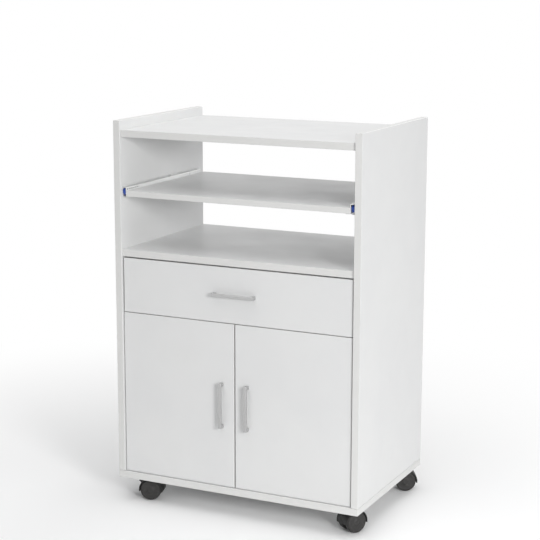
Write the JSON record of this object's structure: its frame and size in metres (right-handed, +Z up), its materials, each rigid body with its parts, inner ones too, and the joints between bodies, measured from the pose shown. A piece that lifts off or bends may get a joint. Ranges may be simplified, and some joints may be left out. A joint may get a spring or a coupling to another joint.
{
  "type": "microwave cart",
  "caption": "Kitchen cart for a microwave oven: sunk top, open bays with a pull-out shelf, drawer, cupboard with double doors, swivel casters.",
  "frame": {"origin": "on the floor, under the middle of the footprint (carcass plus the handles in front of it)", "axes": "+Z up, +Y to the back of the cart, +X to the right seen from the front"},
  "size_m": [0.6059, 0.4017, 0.885],
  "materials": {
    "board_white": "white melamine-faced particle board, satin",
    "hardboard_white": "white painted hardboard",
    "runner_white": "white epoxy-coated steel sheet",
    "roller_blue": "moulded blue nylon",
    "handle_metal": "satin silver",
    "hinge_nickel": "nickel-plated pressed steel",
    "caster_steel": "zinc-plated steel",
    "caster_hood_black": "moulded black nylon",
    "caster_wheel_black": "moulded black nylon"
  },
  "bodies": {
    "carcass": {"side_panel_left": "board_white", "side_panel_right": "board_white", "bottom_panel": "board_white", "top_panel": "board_white", "fixed_shelf": "board_white", "back_panel": "hardboard_white", "cupboard_shelf": "board_white", "shelf_cabinet_rail_left": "runner_white", "shelf_cabinet_rail_right": "runner_white", "drawer_cabinet_rail_left": "runner_white", "drawer_cabinet_rail_right": "runner_white", "hinge_arm_left_lower": "hinge_nickel", "hinge_arm_left_upper": "hinge_nickel", "hinge_arm_right_lower": "hinge_nickel", "hinge_arm_right_upper": "hinge_nickel", "caster_plate_front_left": "caster_steel", "caster_plate_front_right": "caster_steel", "caster_plate_rear_left": "caster_steel", "caster_plate_rear_right": "caster_steel"},
    "pullout_shelf": {"pullout_shelf_board": "board_white", "shelf_carrier_rail_left": "runner_white", "shelf_carrier_rail_right": "runner_white"},
    "drawer": {"drawer_front": "board_white", "drawer_side_left": "board_white", "drawer_side_right": "board_white", "drawer_back": "board_white", "drawer_bottom": "hardboard_white", "drawer_handle": "handle_metal", "drawer_carrier_rail_left": "runner_white", "drawer_carrier_rail_right": "runner_white"},
    "left_door": {"door_left": "board_white", "door_handle_left": "handle_metal", "hinge_cup_left_lower": "hinge_nickel", "hinge_cup_left_upper": "hinge_nickel"},
    "right_door": {"door_right": "board_white", "door_handle_right": "handle_metal", "hinge_cup_right_lower": "hinge_nickel", "hinge_cup_right_upper": "hinge_nickel"},
    "shelf_roller_front_left": {"shelf_front_roller_left": "roller_blue"},
    "shelf_roller_front_right": {"shelf_front_roller_right": "roller_blue"},
    "shelf_roller_rear_left": {"shelf_rear_roller_left": "roller_blue"},
    "shelf_roller_rear_right": {"shelf_rear_roller_right": "roller_blue"},
    "drawer_roller_front_left": {"drawer_front_roller_left": "roller_blue"},
    "drawer_roller_front_right": {"drawer_front_roller_right": "roller_blue"},
    "drawer_roller_rear_left": {"drawer_rear_roller_left": "roller_blue"},
    "drawer_roller_rear_right": {"drawer_rear_roller_right": "roller_blue"},
    "caster_front_left": {"caster_hood_front_left": "caster_hood_black"},
    "caster_front_right": {"caster_hood_front_right": "caster_hood_black"},
    "caster_rear_left": {"caster_hood_rear_left": "caster_hood_black"},
    "caster_rear_right": {"caster_hood_rear_right": "caster_hood_black"},
    "wheel_front_left_outer": {"caster_wheel_front_left_outer": "caster_wheel_black"},
    "wheel_front_left_inner": {"caster_wheel_front_left_inner": "caster_wheel_black"},
    "wheel_front_right_outer": {"caster_wheel_front_right_outer": "caster_wheel_black"},
    "wheel_front_right_inner": {"caster_wheel_front_right_inner": "caster_wheel_black"},
    "wheel_rear_left_outer": {"caster_wheel_rear_left_outer": "caster_wheel_black"},
    "wheel_rear_left_inner": {"caster_wheel_rear_left_inner": "caster_wheel_black"},
    "wheel_rear_right_outer": {"caster_wheel_rear_right_outer": "caster_wheel_black"},
    "wheel_rear_right_inner": {"caster_wheel_rear_right_inner": "caster_wheel_black"}
  },
  "joints": [
    {"name": "pullout_shelf_slide", "type": "slide", "parent": "carcass", "child": "pullout_shelf", "axis": [0, -1, 0], "range_m": [0, 0.25]},
    {"name": "drawer_slide", "type": "slide", "parent": "carcass", "child": "drawer", "axis": [0, -1, 0], "range_m": [0, 0.25]},
    {"name": "left_door_hinge", "type": "hinge", "parent": "carcass", "child": "left_door", "pos_m": [-0.281, -0.1855, 0.2615], "axis": [0, 0, -1], "range_deg": [0, 105]},
    {"name": "right_door_hinge", "type": "hinge", "parent": "carcass", "child": "right_door", "pos_m": [0.281, -0.1855, 0.2615], "axis": [0, 0, 1], "range_deg": [0, 105]},
    {"name": "shelf_roller_front_left_spin", "type": "hinge", "parent": "carcass", "child": "shelf_roller_front_left", "pos_m": [-0.27765, -0.1745, 0.7254], "axis": [1, 0, 0], "range_deg": [0, 1600]},
    {"name": "shelf_roller_front_right_spin", "type": "hinge", "parent": "carcass", "child": "shelf_roller_front_right", "pos_m": [0.27765, -0.1745, 0.7254], "axis": [1, 0, 0], "range_deg": [0, 1600]},
    {"name": "shelf_roller_rear_left_spin", "type": "hinge", "parent": "pullout_shelf", "child": "shelf_roller_rear_left", "pos_m": [-0.27785, 0.1545, 0.7236], "axis": [1, 0, 0], "range_deg": [0, 1600]},
    {"name": "shelf_roller_rear_right_spin", "type": "hinge", "parent": "pullout_shelf", "child": "shelf_roller_rear_right", "pos_m": [0.27785, 0.1545, 0.7236], "axis": [1, 0, 0], "range_deg": [0, 1600]},
    {"name": "drawer_roller_front_left_spin", "type": "hinge", "parent": "carcass", "child": "drawer_roller_front_left", "pos_m": [-0.27765, -0.1585, 0.4764], "axis": [1, 0, 0], "range_deg": [0, 1600]},
    {"name": "drawer_roller_front_right_spin", "type": "hinge", "parent": "carcass", "child": "drawer_roller_front_right", "pos_m": [0.27765, -0.1585, 0.4764], "axis": [1, 0, 0], "range_deg": [0, 1600]},
    {"name": "drawer_roller_rear_left_spin", "type": "hinge", "parent": "drawer", "child": "drawer_roller_rear_left", "pos_m": [-0.27785, 0.1705, 0.4746], "axis": [1, 0, 0], "range_deg": [0, 1600]},
    {"name": "drawer_roller_rear_right_spin", "type": "hinge", "parent": "drawer", "child": "drawer_roller_rear_right", "pos_m": [0.27785, 0.1705, 0.4746], "axis": [1, 0, 0], "range_deg": [0, 1600]},
    {"name": "caster_front_left_swivel", "type": "hinge", "parent": "carcass", "child": "caster_front_left", "pos_m": [-0.255, -0.1525, 0.04], "axis": [0, 0, 1], "continuous": true},
    {"name": "caster_front_right_swivel", "type": "hinge", "parent": "carcass", "child": "caster_front_right", "pos_m": [0.255, -0.1525, 0.04], "axis": [0, 0, 1], "continuous": true},
    {"name": "caster_rear_left_swivel", "type": "hinge", "parent": "carcass", "child": "caster_rear_left", "pos_m": [-0.255, 0.1615, 0.04], "axis": [0, 0, 1], "continuous": true},
    {"name": "caster_rear_right_swivel", "type": "hinge", "parent": "carcass", "child": "caster_rear_right", "pos_m": [0.255, 0.1615, 0.04], "axis": [0, 0, 1], "continuous": true},
    {"name": "wheel_front_left_outer_spin", "type": "hinge", "parent": "caster_front_left", "child": "wheel_front_left_outer", "pos_m": [-0.23669, -0.14742, 0.024], "axis": [-0.2672, 0.9636, 0], "continuous": true},
    {"name": "wheel_front_left_inner_spin", "type": "hinge", "parent": "caster_front_left", "child": "wheel_front_left_inner", "pos_m": [-0.23669, -0.14742, 0.024], "axis": [-0.2672, 0.9636, 0], "continuous": true},
    {"name": "wheel_front_right_outer_spin", "type": "hinge", "parent": "caster_front_right", "child": "wheel_front_right_outer", "pos_m": [0.26507, -0.13639, 0.024], "axis": [-0.848, 0.5299, 0], "continuous": true},
    {"name": "wheel_front_right_inner_spin", "type": "hinge", "parent": "caster_front_right", "child": "wheel_front_right_inner", "pos_m": [0.26507, -0.13639, 0.024], "axis": [-0.848, 0.5299, 0], "continuous": true},
    {"name": "wheel_rear_left_outer_spin", "type": "hinge", "parent": "caster_rear_left", "child": "wheel_rear_left_outer", "pos_m": [-0.23715, 0.155, 0.024], "axis": [0.342, 0.9397, 0], "continuous": true},
    {"name": "wheel_rear_left_inner_spin", "type": "hinge", "parent": "caster_rear_left", "child": "wheel_rear_left_inner", "pos_m": [-0.23715, 0.155, 0.024], "axis": [0.342, 0.9397, 0], "continuous": true},
    {"name": "wheel_rear_right_outer_spin", "type": "hinge", "parent": "caster_rear_right", "child": "wheel_rear_right_outer", "pos_m": [0.27162, 0.17071, 0.024], "axis": [-0.4848, 0.8746, 0], "continuous": true},
    {"name": "wheel_rear_right_inner_spin", "type": "hinge", "parent": "caster_rear_right", "child": "wheel_rear_right_inner", "pos_m": [0.27162, 0.17071, 0.024], "axis": [-0.4848, 0.8746, 0], "continuous": true}
  ],
  "couplings": [
    {"joint": "shelf_roller_front_left_spin", "follows": "pullout_shelf_slide", "rad_per_m": 111.11},
    {"joint": "shelf_roller_front_right_spin", "follows": "pullout_shelf_slide", "rad_per_m": 111.11},
    {"joint": "shelf_roller_rear_left_spin", "follows": "pullout_shelf_slide", "rad_per_m": 111.11},
    {"joint": "shelf_roller_rear_right_spin", "follows": "pullout_shelf_slide", "rad_per_m": 111.11},
    {"joint": "drawer_roller_front_left_spin", "follows": "drawer_slide", "rad_per_m": 111.11},
    {"joint": "drawer_roller_front_right_spin", "follows": "drawer_slide", "rad_per_m": 111.11},
    {"joint": "drawer_roller_rear_left_spin", "follows": "drawer_slide", "rad_per_m": 111.11},
    {"joint": "drawer_roller_rear_right_spin", "follows": "drawer_slide", "rad_per_m": 111.11}
  ]
}
